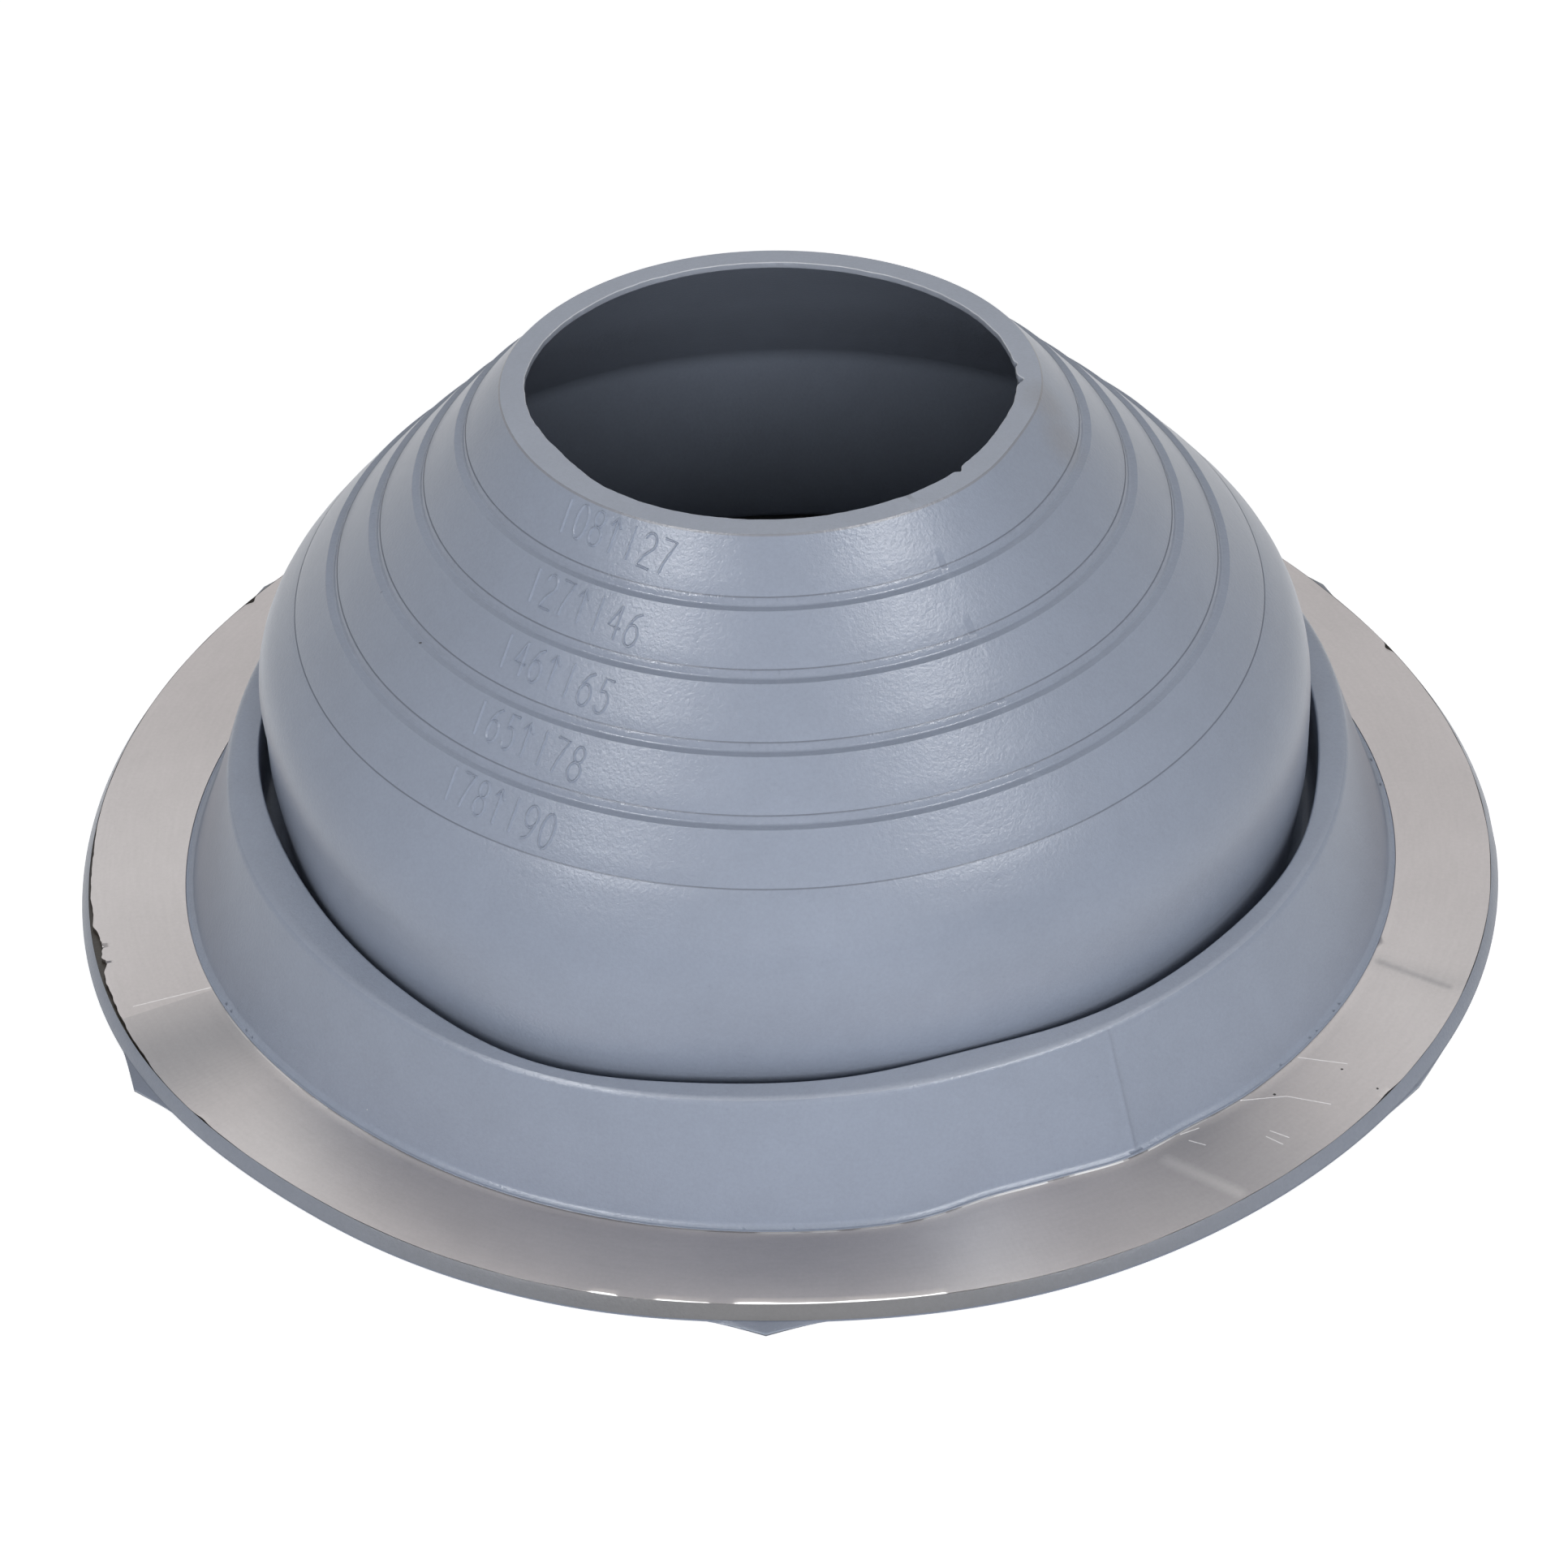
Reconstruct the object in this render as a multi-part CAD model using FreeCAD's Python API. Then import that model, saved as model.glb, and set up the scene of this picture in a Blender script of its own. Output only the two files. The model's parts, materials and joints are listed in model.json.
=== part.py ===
import FreeCAD, Part
import math
import os

# Pipe flashing boot, in millimetres. The axis is Z, and it stands at Z = 0 on a band and a rib of its flange.
# The front is -Y. Both pieces are turned about Z, so every section below is a list of (radius, height).

# Driving dimensions: overall
baseRadius = 140.0          # rubber flange
rimHeight = 103.1           # top of the rim, where the cone was trimmed
openingRadius = 44.7        # hole left by the trim, stretched over the pipe
rimRadius = 49.2            # outer edge of the trimmed rim
openingLand = 1.2           # short upright wall of the opening

# Stepped cone: at each trim line a steep fall, then a level tread
stepCount = 4
firstTrimRadius = 56.5
firstTrimHeight = 94.9
stepPitch = 8.92            # out and down from one trim line to the next
fallOut, fallDown = 0.75, 1.35
treadWidth = 1.5

# Dome and the fold round it
shoulderRadius = 101.6      # where the last band and the dome's wall would meet, before rounding
shoulderHeight = 47.9
shoulderCurve = 20.0
foldRadius = 99.8           # foot of the dome's wall, in the fold
foldFloor = 8.0
foldOuterRadius = 105.3     # inner side of the skirt, upright from the fold to the lip
wall = 2.7                  # rubber thickness of dome, fold and skirt
foldOuterWall = 3.2
coneInnerHeight = 47.5      # height of the corner inside the dome

# Skirt: flat lip with an eased outer edge, straight wall down to the foot
lipOuterRadius = 110.9
lipHeight = 26.2
lipEase = 2.0
footRadius = 118.7
footHeight = 4.0

# Flange, and the seat for the ring
flangeTop = 3.7
flangeUnder = 0.9           # underside between the band and the rib
edgeDrop = 0.8              # bevel outside the ring
ringThickness = 0.8
ringInnerRadius = 120.0
ringOuterRadius = 138.4
seatLipRise = 0.5           # rubber stands this much over the ring's inner edge
footBandOuter = 124.2       # the flange rests on a flat band under the skirt's foot
ribRadius = 133.0           # and on one rib further out
ribWidth = 2.4

# Pull tabs on the flange's edge
tabAngles = (0, 56, 124, 180, 236, 304)
tabReach = 2.3
tabHalfWidth = 9.0
tabThickness = 1.0
tabRoot = 8.0               # how far the tab runs in under the flange
tabFlare, tabTip = 12.0, 4.0    # rounding where the tab leaves the edge, and at its point
tabTipAllowance = 0.4           # what the rounding takes off the point
tabSink = 1.2                   # how far the blank's far corners stay inside the edge


def roundedWire(corners):
    """Closed outline in the XZ plane; each corner is (radius, height) or (radius, height, fillet)."""
    points = [FreeCAD.Vector(c[0], 0, c[1]) for c in corners]
    fillets = [c[2] if len(c) > 2 else 0.0 for c in corners]
    count = len(points)
    ends = []
    for i in range(count):
        here = points[i]
        toLast = (points[i - 1] - here).normalize()
        toNext = (points[(i + 1) % count] - here).normalize()
        if fillets[i] == 0.0:
            ends.append((here, None, here))
            continue
        half = toLast.getAngle(toNext) / 2
        reach = fillets[i] / math.tan(half)
        bisector = (toLast + toNext).normalize()
        middle = here + bisector * (fillets[i] / math.sin(half) - fillets[i])
        ends.append((here + toLast * reach, middle, here + toNext * reach))
    edges = []
    for i in range(count):
        start, middle, end = ends[i]
        if middle is not None:
            edges.append(Part.Arc(start, middle, end).toShape())
        nextStart = ends[(i + 1) % count][0]
        if (nextStart - end).Length > 1e-6:
            edges.append(Part.LineSegment(end, nextStart).toShape())
    return Part.Wire(edges)


def turned(corners):
    """Solid of revolution about Z."""
    face = Part.Face(roundedWire(corners))
    return face.revolve(FreeCAD.Vector(), FreeCAD.Vector(0, 0, 1), 360)


def rimCorners():
    return [(openingRadius, rimHeight - openingLand), (openingRadius, rimHeight),
            (rimRadius, rimHeight)]


def stepCorners():
    """Trim line, fall and tread of each step, down the cone."""
    corners = []
    for i in range(stepCount):
        radius = firstTrimRadius + i * stepPitch
        height = firstTrimHeight - i * stepPitch
        tread = height - fallDown
        corners += [(radius, height), (radius + fallOut, tread),
                    (radius + fallOut + treadWidth, tread)]
    return corners


def domeCorners():
    """Shoulder as one fillet, then the wall down into the fold."""
    return [(shoulderRadius, shoulderHeight, shoulderCurve),
            (foldRadius, foldFloor), (foldOuterRadius, foldFloor)]


def skirtCorners():
    """Lip with its eased edge, sloping wall, and the foot rising a little to the ring."""
    return [(foldOuterRadius, lipHeight), (lipOuterRadius - lipEase, lipHeight),
            (lipOuterRadius, lipHeight - lipEase),
            (footRadius, footHeight), (ringInnerRadius, flangeTop + seatLipRise)]


def flangeCorners():
    """Seat for the ring, the bevelled edge, the rib of the underside and the band under the foot."""
    seat = flangeTop - ringThickness
    ribOuter, ribInner = ribRadius + ribWidth / 2, ribRadius - ribWidth / 2
    return [(ringInnerRadius, seat), (ringOuterRadius, seat), (ringOuterRadius, flangeTop),
            (baseRadius, flangeTop - edgeDrop), (baseRadius, flangeUnder),
            (ribOuter, flangeUnder), (ribOuter, 0.0), (ribInner, 0.0), (ribInner, flangeUnder),
            (footBandOuter, flangeUnder), (footBandOuter, 0.0)]


def undersideCorners():
    """Inside of the skirt up to its peak, round the fold, up the dome and up the smooth cone."""
    slope = (footRadius - lipOuterRadius) / (lipHeight - lipEase - footHeight)
    inner = footRadius - wall * math.hypot(1.0, slope)
    peakRadius = foldOuterRadius + foldOuterWall
    return [(inner + footHeight * slope, 0.0),
            (peakRadius, footHeight + (inner - peakRadius) / slope),
            (peakRadius, foldFloor - wall), (foldRadius - wall, foldFloor - wall),
            (shoulderRadius - wall, coneInnerHeight)]


def rubberBoot():
    section = (rimCorners() + stepCorners() + domeCorners() + skirtCorners()
               + flangeCorners() + undersideCorners())
    boot = turned(section)
    for angle in tabAngles:
        boot = boot.fuse(pullTab(angle))
    return boot.removeSplitter()


def pullTab(angle):
    """Small pointed tab under the flange's edge, angle measured from the front."""
    foot = baseRadius * math.cos(math.asin(tabHalfWidth / baseRadius))
    root = baseRadius - tabRoot
    corners = [(-2 * tabHalfWidth, root), (-2 * tabHalfWidth, foot - tabSink),
               (-tabHalfWidth, foot, tabFlare), (0.0, baseRadius + tabReach + tabTipAllowance, tabTip),
               (tabHalfWidth, foot, tabFlare), (2 * tabHalfWidth, foot - tabSink), (2 * tabHalfWidth, root)]
    tab = Part.Face(roundedWire(corners))
    tab.rotate(FreeCAD.Vector(), FreeCAD.Vector(1, 0, 0), 90)
    tab = tab.extrude(FreeCAD.Vector(0, 0, tabThickness))
    tab.rotate(FreeCAD.Vector(), FreeCAD.Vector(0, 0, 1), angle)
    return tab


def aluminiumRing():
    seat = flangeTop - ringThickness
    return turned([(ringInnerRadius, seat), (ringOuterRadius, seat),
                   (ringOuterRadius, flangeTop), (ringInnerRadius, flangeTop)])


def main():
    os.makedirs("parts", exist_ok=True)
    nodes = {"rubber_boot": rubberBoot(), "aluminium_ring": aluminiumRing()}
    for name, shape in nodes.items():
        shape.exportStep(f"parts/{name}.step")
        box = shape.BoundBox
        print(name, "valid", shape.isValid(), "solids", len(shape.Solids),
              "volume cm3", round(shape.Volume / 1000, 1),
              "z", round(box.ZMin, 2), round(box.ZMax, 2), "radius", round(box.XMax, 2))


main()
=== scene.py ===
import json
import math
import bpy
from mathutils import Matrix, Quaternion, Vector, noise


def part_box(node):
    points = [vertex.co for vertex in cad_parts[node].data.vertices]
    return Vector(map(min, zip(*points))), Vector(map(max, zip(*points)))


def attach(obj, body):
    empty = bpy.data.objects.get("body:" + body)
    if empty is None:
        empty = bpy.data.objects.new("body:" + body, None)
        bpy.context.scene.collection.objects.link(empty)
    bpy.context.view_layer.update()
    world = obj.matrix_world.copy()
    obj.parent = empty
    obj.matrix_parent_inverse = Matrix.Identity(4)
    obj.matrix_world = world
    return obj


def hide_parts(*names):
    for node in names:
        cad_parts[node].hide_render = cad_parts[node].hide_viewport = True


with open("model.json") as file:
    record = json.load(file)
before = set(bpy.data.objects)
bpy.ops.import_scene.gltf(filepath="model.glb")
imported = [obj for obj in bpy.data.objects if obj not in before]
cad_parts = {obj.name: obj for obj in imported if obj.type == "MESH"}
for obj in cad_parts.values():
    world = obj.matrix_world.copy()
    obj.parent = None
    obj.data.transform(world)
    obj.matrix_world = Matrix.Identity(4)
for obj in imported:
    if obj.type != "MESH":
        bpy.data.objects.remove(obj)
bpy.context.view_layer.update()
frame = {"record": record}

# Pipe flashing boot: one grey rubber moulding with a soft aluminium ring on its flange.
# Sections are (radius, height) in millimetres, angles are degrees from the front (-Y) towards +X.
mm = 0.001
bootLow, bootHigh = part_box("rubber_boot")
ringLow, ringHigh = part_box("aluminium_ring")
mountSizes = {mount["name"]: mount for mount in frame["record"]["mounts"]}


# small helpers shared by the pieces
def clamp01(value):
    return max(0.0, min(1.0, value))


def smoothStep(edge0, edge1, value):
    t = clamp01((value - edge0) / (edge1 - edge0))
    return t * t * (3 - 2 * t)


def angleGap(a, b):
    return (a - b + 180.0) % 360.0 - 180.0


def bell(angle, centre, width):
    return math.exp(-(angleGap(angle, centre) / width) ** 2)


def sumOfBells(bells, angle):
    # each bell: (centre angle, half width, amount)
    return sum(amount * bell(angle, centre, width) for centre, width, amount in bells)


def unevenly(angle, least, centre, width):
    # all of it at the centre angle, the least share away from there
    return least + (1 - least) * bell(angle, centre, width)


def ringNoise(angle, cycles, seed):
    # smooth noise that closes after a full turn, about -1 to 1
    a = math.radians(angle)
    reach = cycles / (2 * math.pi)
    return noise.noise(Vector((reach * math.sin(a), reach * math.cos(a), seed)))


def sumOfNoise(layers, angle):
    # each layer: (amount, cycles in a turn, seed)
    return sum(amount * ringNoise(angle, cycles, seed) for amount, cycles, seed in layers)


def surfacePoint(radius, height, angle):
    a = math.radians(angle)
    return Vector((radius * math.sin(a), -radius * math.cos(a), height)) * mm


# how finely fillets are divided: (fillets below this radius, degrees for each step)
filletSteps = ((1.8, 24), (3.0, 12), (math.inf, 6))
fewestSteps, mostSteps = 2, 14


def arcSteps(fillet, turn):
    degrees = next(step for limit, step in filletSteps if fillet < limit)
    return max(fewestSteps, min(mostSteps, round(math.degrees(turn) / degrees)))


def cornerPoints(before, corner, after):
    # one corner of a section: a single point, or an arc where it has a fillet
    radius, height, fillet, finish = corner
    here = Vector((radius, height))
    if fillet == 0:
        return [(here, finish)]
    toBefore = (Vector(before[:2]) - here).normalized()
    toAfter = (Vector(after[:2]) - here).normalized()
    half = toBefore.angle(toAfter) / 2
    reach = fillet / math.tan(half)
    centre = here + (toBefore + toAfter).normalized() * (fillet / math.sin(half))
    start, end = here + toBefore * reach, here + toAfter * reach
    startTurn = math.atan2(start.y - centre.y, start.x - centre.x)
    endTurn = math.atan2(end.y - centre.y, end.x - centre.x)
    sweep = (endTurn - startTurn + math.pi) % (2 * math.pi) - math.pi
    steps = arcSteps(fillet, math.pi - 2 * half)
    points = []
    for k in range(steps + 1):
        turn = startTurn + sweep * k / steps
        spot = centre + Vector((math.cos(turn), math.sin(turn))) * fillet
        points.append((spot, finish if k * 2 >= steps else before[3]))
    return points


def roundedSection(corners, longest):
    # corner: (radius, height, fillet, finish of the stretch that starts there); returns points with a finish
    points = []
    for i, corner in enumerate(corners):
        points += cornerPoints(corners[i - 1], corner, corners[(i + 1) % len(corners)])
    filled = []
    for i, (point, finish) in enumerate(points):
        following = points[(i + 1) % len(points)][0]
        pieces = max(1, math.ceil((following - point).length / longest))
        filled += [(point.lerp(following, k / pieces), finish) for k in range(pieces)]
    return filled


def turnedPiece(name, section, angles, move, marks):
    # turns the section round Z; move() gives each point its unevenness, marks go on the faces
    rows, columns = len(section), len(angles)
    points = []
    for angle in angles:
        for point, finish in section:
            points.append(surfacePoint(*move(point.x, point.y, finish, angle)))
    faces = []
    for i in range(columns):
        here, there = i * rows, (i + 1) % columns * rows
        for k in range(rows):
            after = (k + 1) % rows
            faces.append((here + k, here + after, there + after, there + k))
    mesh = bpy.data.meshes.new(name)
    mesh.from_pydata(points, [], faces)
    for title, worth in marks.items():
        layer = mesh.attributes.new(title, "FLOAT", "FACE")
        values = [worth(finish, angle) for angle in angles for point, finish in section]
        layer.data.foreach_set("value", values)
    mesh.shade_smooth()
    mesh.update()
    piece = bpy.data.objects.new(name, mesh)
    bpy.context.collection.objects.link(piece)
    evenNormals = piece.modifiers.new("even normals", "WEIGHTED_NORMAL")
    evenNormals.weight = 100
    return piece


def closeAngles(centre, step, count):
    return [centre + k * step for k in range(-count, count + 1)]


def wholeTurn(spacing, extras):
    # even angles round the part, with closer ones where something small stands
    closest, clear = 0.09, min(0.35 * spacing, 0.2)
    chosen = []
    for angle in sorted(a % 360 for a in extras):
        if not chosen or angle - chosen[-1] > closest:
            chosen.append(angle)
    steps = round(360 / spacing)
    even = [i * 360 / steps for i in range(steps)]
    return sorted(chosen + [a for a in even if all(abs(angleGap(a, c)) > clear for c in chosen)])


# how this boot has settled out of round: bells of (centre angle, half width, amount in mm)
settling = {
    "flangeOut": ((66, 24, 1.7), (-65, 16, 1.2), (125, 26, -4.0), (-120, 24, -1.2)),
    "flangeUp": ((0, 17, 2.3), (-38, 13, 1.7), (-21, 9, 0.6)),
    "footOut": ((-110, 24, -2.2), (19, 5, -2.2), (26, 5.5, -1.9), (38, 5, -1.0)),
    "skirtOut": ((-98, 24, -1.4),),
    "lipInner": ((-84, 34, -1.3), (90, 30, -0.9), (-60, 19, -2.1), (-22, 13, 2.9), (20, 11, -2.1),
                  (66, 12, 1.3)),
    "lipOuter": ((-24, 18, 1.3), (24, 22, -0.9)),
    "domeOut": ((-70, 16, -2.2), (-22, 16, 2.8), (20, 12, -0.4), (70, 14, 0.5)),
    "rimOut": ((-98, 26, 1.0), (67, 14, -1.0)),
    "openingOut": ((-58, 14, -1.0),),
    "rimUp": ((162, 62, -1.8),),
    "coneOut": ((102, 22, -0.8),),
}
# where each movement is none and where it is full, in mm of the radius or the height it is read at
fades = {
    "top": (86, 102), "opening": (49, 45.5), "cone": (52, 68), "dome": (54, 32), "rimUp": (58, 103),
    "outer": (108, 119), "footEnd": (134, 121), "skirt": (103, 108), "skirtEnd": (124, 112),
    "lipInner": (109.5, 105.5), "lipInnerUp": (9, 22), "lipOuter": (105.5, 108.5), "lipOuterUp": (6, 23),
    "flangeUp": (110, 139),
}
coneLimit = {"radius": 103.5, "height": 27.5}     # inside or above this the boot is cone and dome


def fade(name, value):
    return smoothStep(*fades[name], value)


def settle(radius, height, angle):
    amount = {name: sumOfBells(bells, angle) for name, bells in settling.items()}
    onCone = radius < coneLimit["radius"] or height > coneLimit["height"]
    return settleCone(amount, radius, height) if onCone else settleBase(amount, radius, height)


def settleCone(amount, radius, height):
    top = fade("top", height)
    moved = radius + amount["rimOut"] * top + amount["openingOut"] * top * fade("opening", radius)
    moved += amount["coneOut"] * fade("cone", height) * (1 - top)
    moved += amount["domeOut"] * fade("dome", height)
    return moved, height + amount["rimUp"] * fade("rimUp", height)


def settleBase(amount, radius, height):
    outer = fade("outer", radius)
    moved = radius + amount["flangeOut"] * outer
    moved += amount["footOut"] * outer * fade("footEnd", radius)
    moved += amount["skirtOut"] * fade("skirt", radius) * fade("skirtEnd", radius)
    moved += amount["lipInner"] * fade("lipInner", radius) * fade("lipInnerUp", height)
    moved += amount["lipOuter"] * fade("lipOuter", radius) * fade("lipOuterUp", height)
    return moved, height + amount["flangeUp"] * fade("flangeUp", radius)


def insideBox(radius, height, angle):
    # at its left and right the flange never passes the width that the base is made to
    side = abs(math.sin(math.radians(angle)))
    return min(radius, boot["baseRadius"] / max(side, 0.5)), max(height, 0.0), angle


# rubber boot
boot = {
    "baseRadius": bootHigh.x / mm, "rimHeight": bootHigh.z / mm,
    "openingRadius": mountSizes["pipe_opening"]["dims"]["r_mm"], "openingLand": 1.2, "openingWorn": 0.16,
    "rimRadius": 49.2, "rimBevel": (0.3, 0.33),
    "stepCount": 4, "firstTrimRadius": 56.5, "firstTrimHeight": 94.9, "stepPitch": 8.92,
    "fallOut": 0.75, "fallDown": 1.35, "treadWidth": 1.5, "cutGuide": 0.10, "lastGuideHeight": 59.2,
    "shoulder": (101.6, 47.9, 24.0), "wallBelly": (102.0, 26.0),
    "foldRadius": 100.2, "foldOuter": 104.9, "foldFloor": 8.0,
    "lipHeight": 26.2, "lipOuter": 109.6, "lipRounding": 2.0, "foot": (118.7, 4.0), "seatLip": (0.6, 0.2),
    "ringInner": 120.0, "ringOuter": ringHigh.x / mm, "ringTop": ringHigh.z / mm, "seat": ringLow.z / mm,
    "partingLine": (1.35, 1.2, 1.1), "partingDepth": 0.2,       # heights of the groove round the edge
    "flangeUnder": 0.9, "footBand": 124.2, "rib": 133.0, "ribWidth": 2.4,
    "wall": 2.7, "foldOuterWall": 3.2, "coneInner": 47.5, "hollowRadius": 117.3, "peakHeight": 23.4,
    "tabs": {0: 2.3, 56: 0.35, 124: 2.0, 180: 2.2, 236: 2.0, 304: 2.4},     # reach by angle
    "tabWidth": 10.5, "tabPoint": 1.3, "tabTopDrop": 0.35, "tabClear": 0.02,
    "ragged": ((0.16, 60, 3.1), (0.12, 170, 5.7)), "raggedDepth": 0.6,
    "raggedMore": ((0.5, 9, 2.2),), "raggedFrom": (40, 60), "raggedTo": (100, 80),
    "rimNicks": ((48.5, 1.1, 0.9), (90.5, 1.6, 1.2), (97.5, 1.2, 0.6)),
    "bandWaver": (0.05, 120),
    "seam": (33.1, 0.3, 0.2), "seamTop": 24.5, "seamMark": 0.14,
    # the lip's painted highlight and the film, each as least share, centre angle and half width
    "lipSheenSpread": (0.35, 22, 34), "filmWear": (0.25, 0, 34),
    "spacing": 1.05, "longest": 4.5,
    "tabAngles": (0.6, 7), "seamAngles": (0.12, 6), "nickAngles": (0.4, 4),     # closer angles: step, count
}


def trimLine(step):
    # radius and height of a trim guide; the last one lies lower, on the dome's shoulder
    radius = boot["firstTrimRadius"] + step * boot["stepPitch"]
    if step == boot["stepCount"]:
        return radius, boot["lastGuideHeight"]
    return radius, boot["firstTrimHeight"] - step * boot["stepPitch"]


def rimCorners(b):
    paintedSheen = b["openingWorn"]
    bevelOut, bevelDown = b["rimBevel"]
    return [(b["openingRadius"], b["rimHeight"] - b["openingLand"], 0.3, "land"),
            (b["openingRadius"], b["rimHeight"] - paintedSheen, 0, "openingEdge"),
            (b["openingRadius"] + paintedSheen, b["rimHeight"], 0, "rim"),
            (b["rimRadius"], b["rimHeight"], 0.12, "rimEdge"),
            (b["rimRadius"] + bevelOut, b["rimHeight"] - bevelDown, 0, "band")]


def stepCorners(b):
    # a fine groove at each trim line, then the fall and the tread; after the last groove comes the dome
    guide = b["cutGuide"]
    corners = []
    for step in range(b["stepCount"] + 1):
        radius, height = trimLine(step)
        corners += [(radius - guide, height + guide, 0, "guide"),
                    (radius - guide * 2, height - guide * 2, 0, "guide")]
        if step == b["stepCount"]:
            corners.append((radius + guide, height - guide, 0, "dome"))
        else:
            corners += [(radius + guide, height - guide, 0, "fall"),
                        (radius + b["fallOut"], height - b["fallDown"], 0.5, "tread"),
                        (radius + b["fallOut"] + b["treadWidth"], height - b["fallDown"], 0.2, "band")]
    return corners


def skirtCorners(b):
    # shoulder, the wall's slight belly, the fold, the lip, the skirt and the small lip over the ring
    lipWidth, lipRise = b["seatLip"]
    return [(*b["shoulder"], "dome"),
            (*b["wallBelly"], 6.0, "fold"),
            (b["foldRadius"], b["foldFloor"], 1.9, "fold"),
            (b["foldOuter"], b["foldFloor"], 1.9, "fold"),
            (b["foldOuter"], b["lipHeight"], 0.5, "lip"),
            (b["lipOuter"], b["lipHeight"], b["lipRounding"], "skirt"),
            (*b["foot"], 1.4, "skirt"),
            (b["ringInner"] - lipWidth, b["ringTop"] + lipRise, 0.25, "skirt"),
            (b["ringInner"], b["ringTop"] + lipRise, 0.25, "skirt")]


def flangeCorners(b):
    # seat of the ring, the edge with its parting line, the rib and the flat band under the foot
    grooveTop, groove, grooveFoot = b["partingLine"]
    rib, half, under = b["rib"], b["ribWidth"] / 2, b["flangeUnder"]
    return [(b["ringInner"], b["seat"], 0, "flange"),
            (b["ringOuter"], b["seat"], 0, "flange"),
            (b["ringOuter"], b["ringTop"], 0, "film"),
            (b["baseRadius"], grooveTop, 0, "guide"),
            (b["baseRadius"] - b["partingDepth"], groove, 0, "guide"),
            (b["baseRadius"], grooveFoot, 0, "tabTop"),
            (b["baseRadius"], under, 0, "tabUnder"),
            (rib + half, under, 0, "under"), (rib + half, 0.0, 0.2, "under"),
            (rib - half, 0.0, 0.2, "under"), (rib - half, under, 0, "under"),
            (b["footBand"], under, 0, "under"), (b["footBand"], 0.0, 0.2, "under")]


def undersideCorners(b):
    # up inside the skirt to its peak, down round the fold and up inside the dome
    peakRadius = b["foldOuter"] + b["foldOuterWall"]
    foldBottom = b["foldFloor"] - b["wall"]
    return [(b["hollowRadius"], 0.0, 0.4, "under"),
            (peakRadius, b["peakHeight"], 0.6, "under"),
            (peakRadius, foldBottom, 1.5, "under"),
            (b["foldRadius"] - b["wall"], foldBottom, 1.5, "inside"),
            (b["shoulder"][0] - b["wall"], b["coneInner"], 6.0, "inside")]


def bootSection(b):
    corners = rimCorners(b) + stepCorners(b) + skirtCorners(b) + flangeCorners(b) + undersideCorners(b)
    return roundedSection(corners, b["longest"])


def cutByHand(b, radius, angle):
    # the opening is slightly ragged, more so on its right, with a few nicks
    turn = angle % 360
    more = smoothStep(*b["raggedFrom"], turn) * smoothStep(*b["raggedTo"], turn)
    radius += sumOfNoise(b["ragged"], angle) + more * sumOfNoise(b["raggedMore"], angle)
    return radius + sumOfBells(b["rimNicks"], angle)


def tabShare(b, tab, angle):
    # 1 at the tab's point, falling to 0 at its sides
    side = abs(angleGap(angle, tab)) * math.radians(1) * b["baseRadius"]
    return clamp01(1 - side / b["tabWidth"]) ** b["tabPoint"]


def bootShape(radius, height, finish, angle):
    b = boot
    if finish in ("rim", "land", "openingEdge") and radius < b["openingRadius"] + b["raggedDepth"]:
        radius = cutByHand(b, radius, angle)
    if finish in ("tread", "band") and height < b["firstTrimHeight"]:
        amount, cycles = b["bandWaver"]
        radius += amount * ringNoise(angle, cycles, height)
    if finish in ("tabTop", "tabUnder") and radius > b["baseRadius"] - b["partingDepth"] / 2:
        tab = min(b["tabs"], key=lambda centre: abs(angleGap(angle, centre)))
        share = tabShare(b, tab, angle)
        radius += b["tabs"][tab] * share
        drop = 1 if finish == "tabUnder" else b["tabTopDrop"]
        height -= (b["flangeUnder"] - b["tabClear"]) * share * drop
    if finish == "skirt" and b["foot"][1] < height < b["seamTop"]:
        centre, width, rise = b["seam"]
        radius += rise * bell(angle, centre, width)
    return insideBox(*settle(radius, height, angle), angle)


def bootMarks(b):
    # what each finish is worth to the material, by angle
    return {
        "cutFace": lambda finish, angle: float(finish in ("rim", "land")),
        # painted highlight on the opening's top edge
        "openingEdgeSheen": lambda finish, angle: float(finish == "openingEdge"),
        # painted highlight along the lip's top, strongest front right
        "lipSheen": lambda finish, angle: float(finish == "lip") * unevenly(angle, *b["lipSheenSpread"]),
        "rimEdge": lambda finish, angle: float(finish == "rimEdge"),
        "smoothFall": lambda finish, angle: float(finish == "fall"),
        "seamLine": lambda finish, angle: float(finish == "skirt") * bell(angle, b["seam"][0], b["seamMark"]),
        # painted shade in the trim and parting grooves
        "grooveShade": lambda finish, angle: float(finish == "guide"),
        "film": lambda finish, angle: float(finish == "film") * unevenly(angle, *b["filmWear"]),
        "glue": lambda finish, angle: float(finish == "flange"),
    }


def rubberBoot():
    extras = closeAngles(boot["seam"][0], *boot["seamAngles"])
    for tab in boot["tabs"]:
        extras += closeAngles(tab, *boot["tabAngles"])
    for centre, width, depth in boot["rimNicks"]:
        extras += closeAngles(centre, *boot["nickAngles"])
    section = bootSection(boot)
    piece = turnedPiece("boot_moulding", section, wholeTurn(boot["spacing"], extras),
                        bootShape, bootMarks(boot))
    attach(piece, "root")
    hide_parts("rubber_boot")
    print("boot_moulding:", len(section), "points in the section")
    return piece


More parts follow.
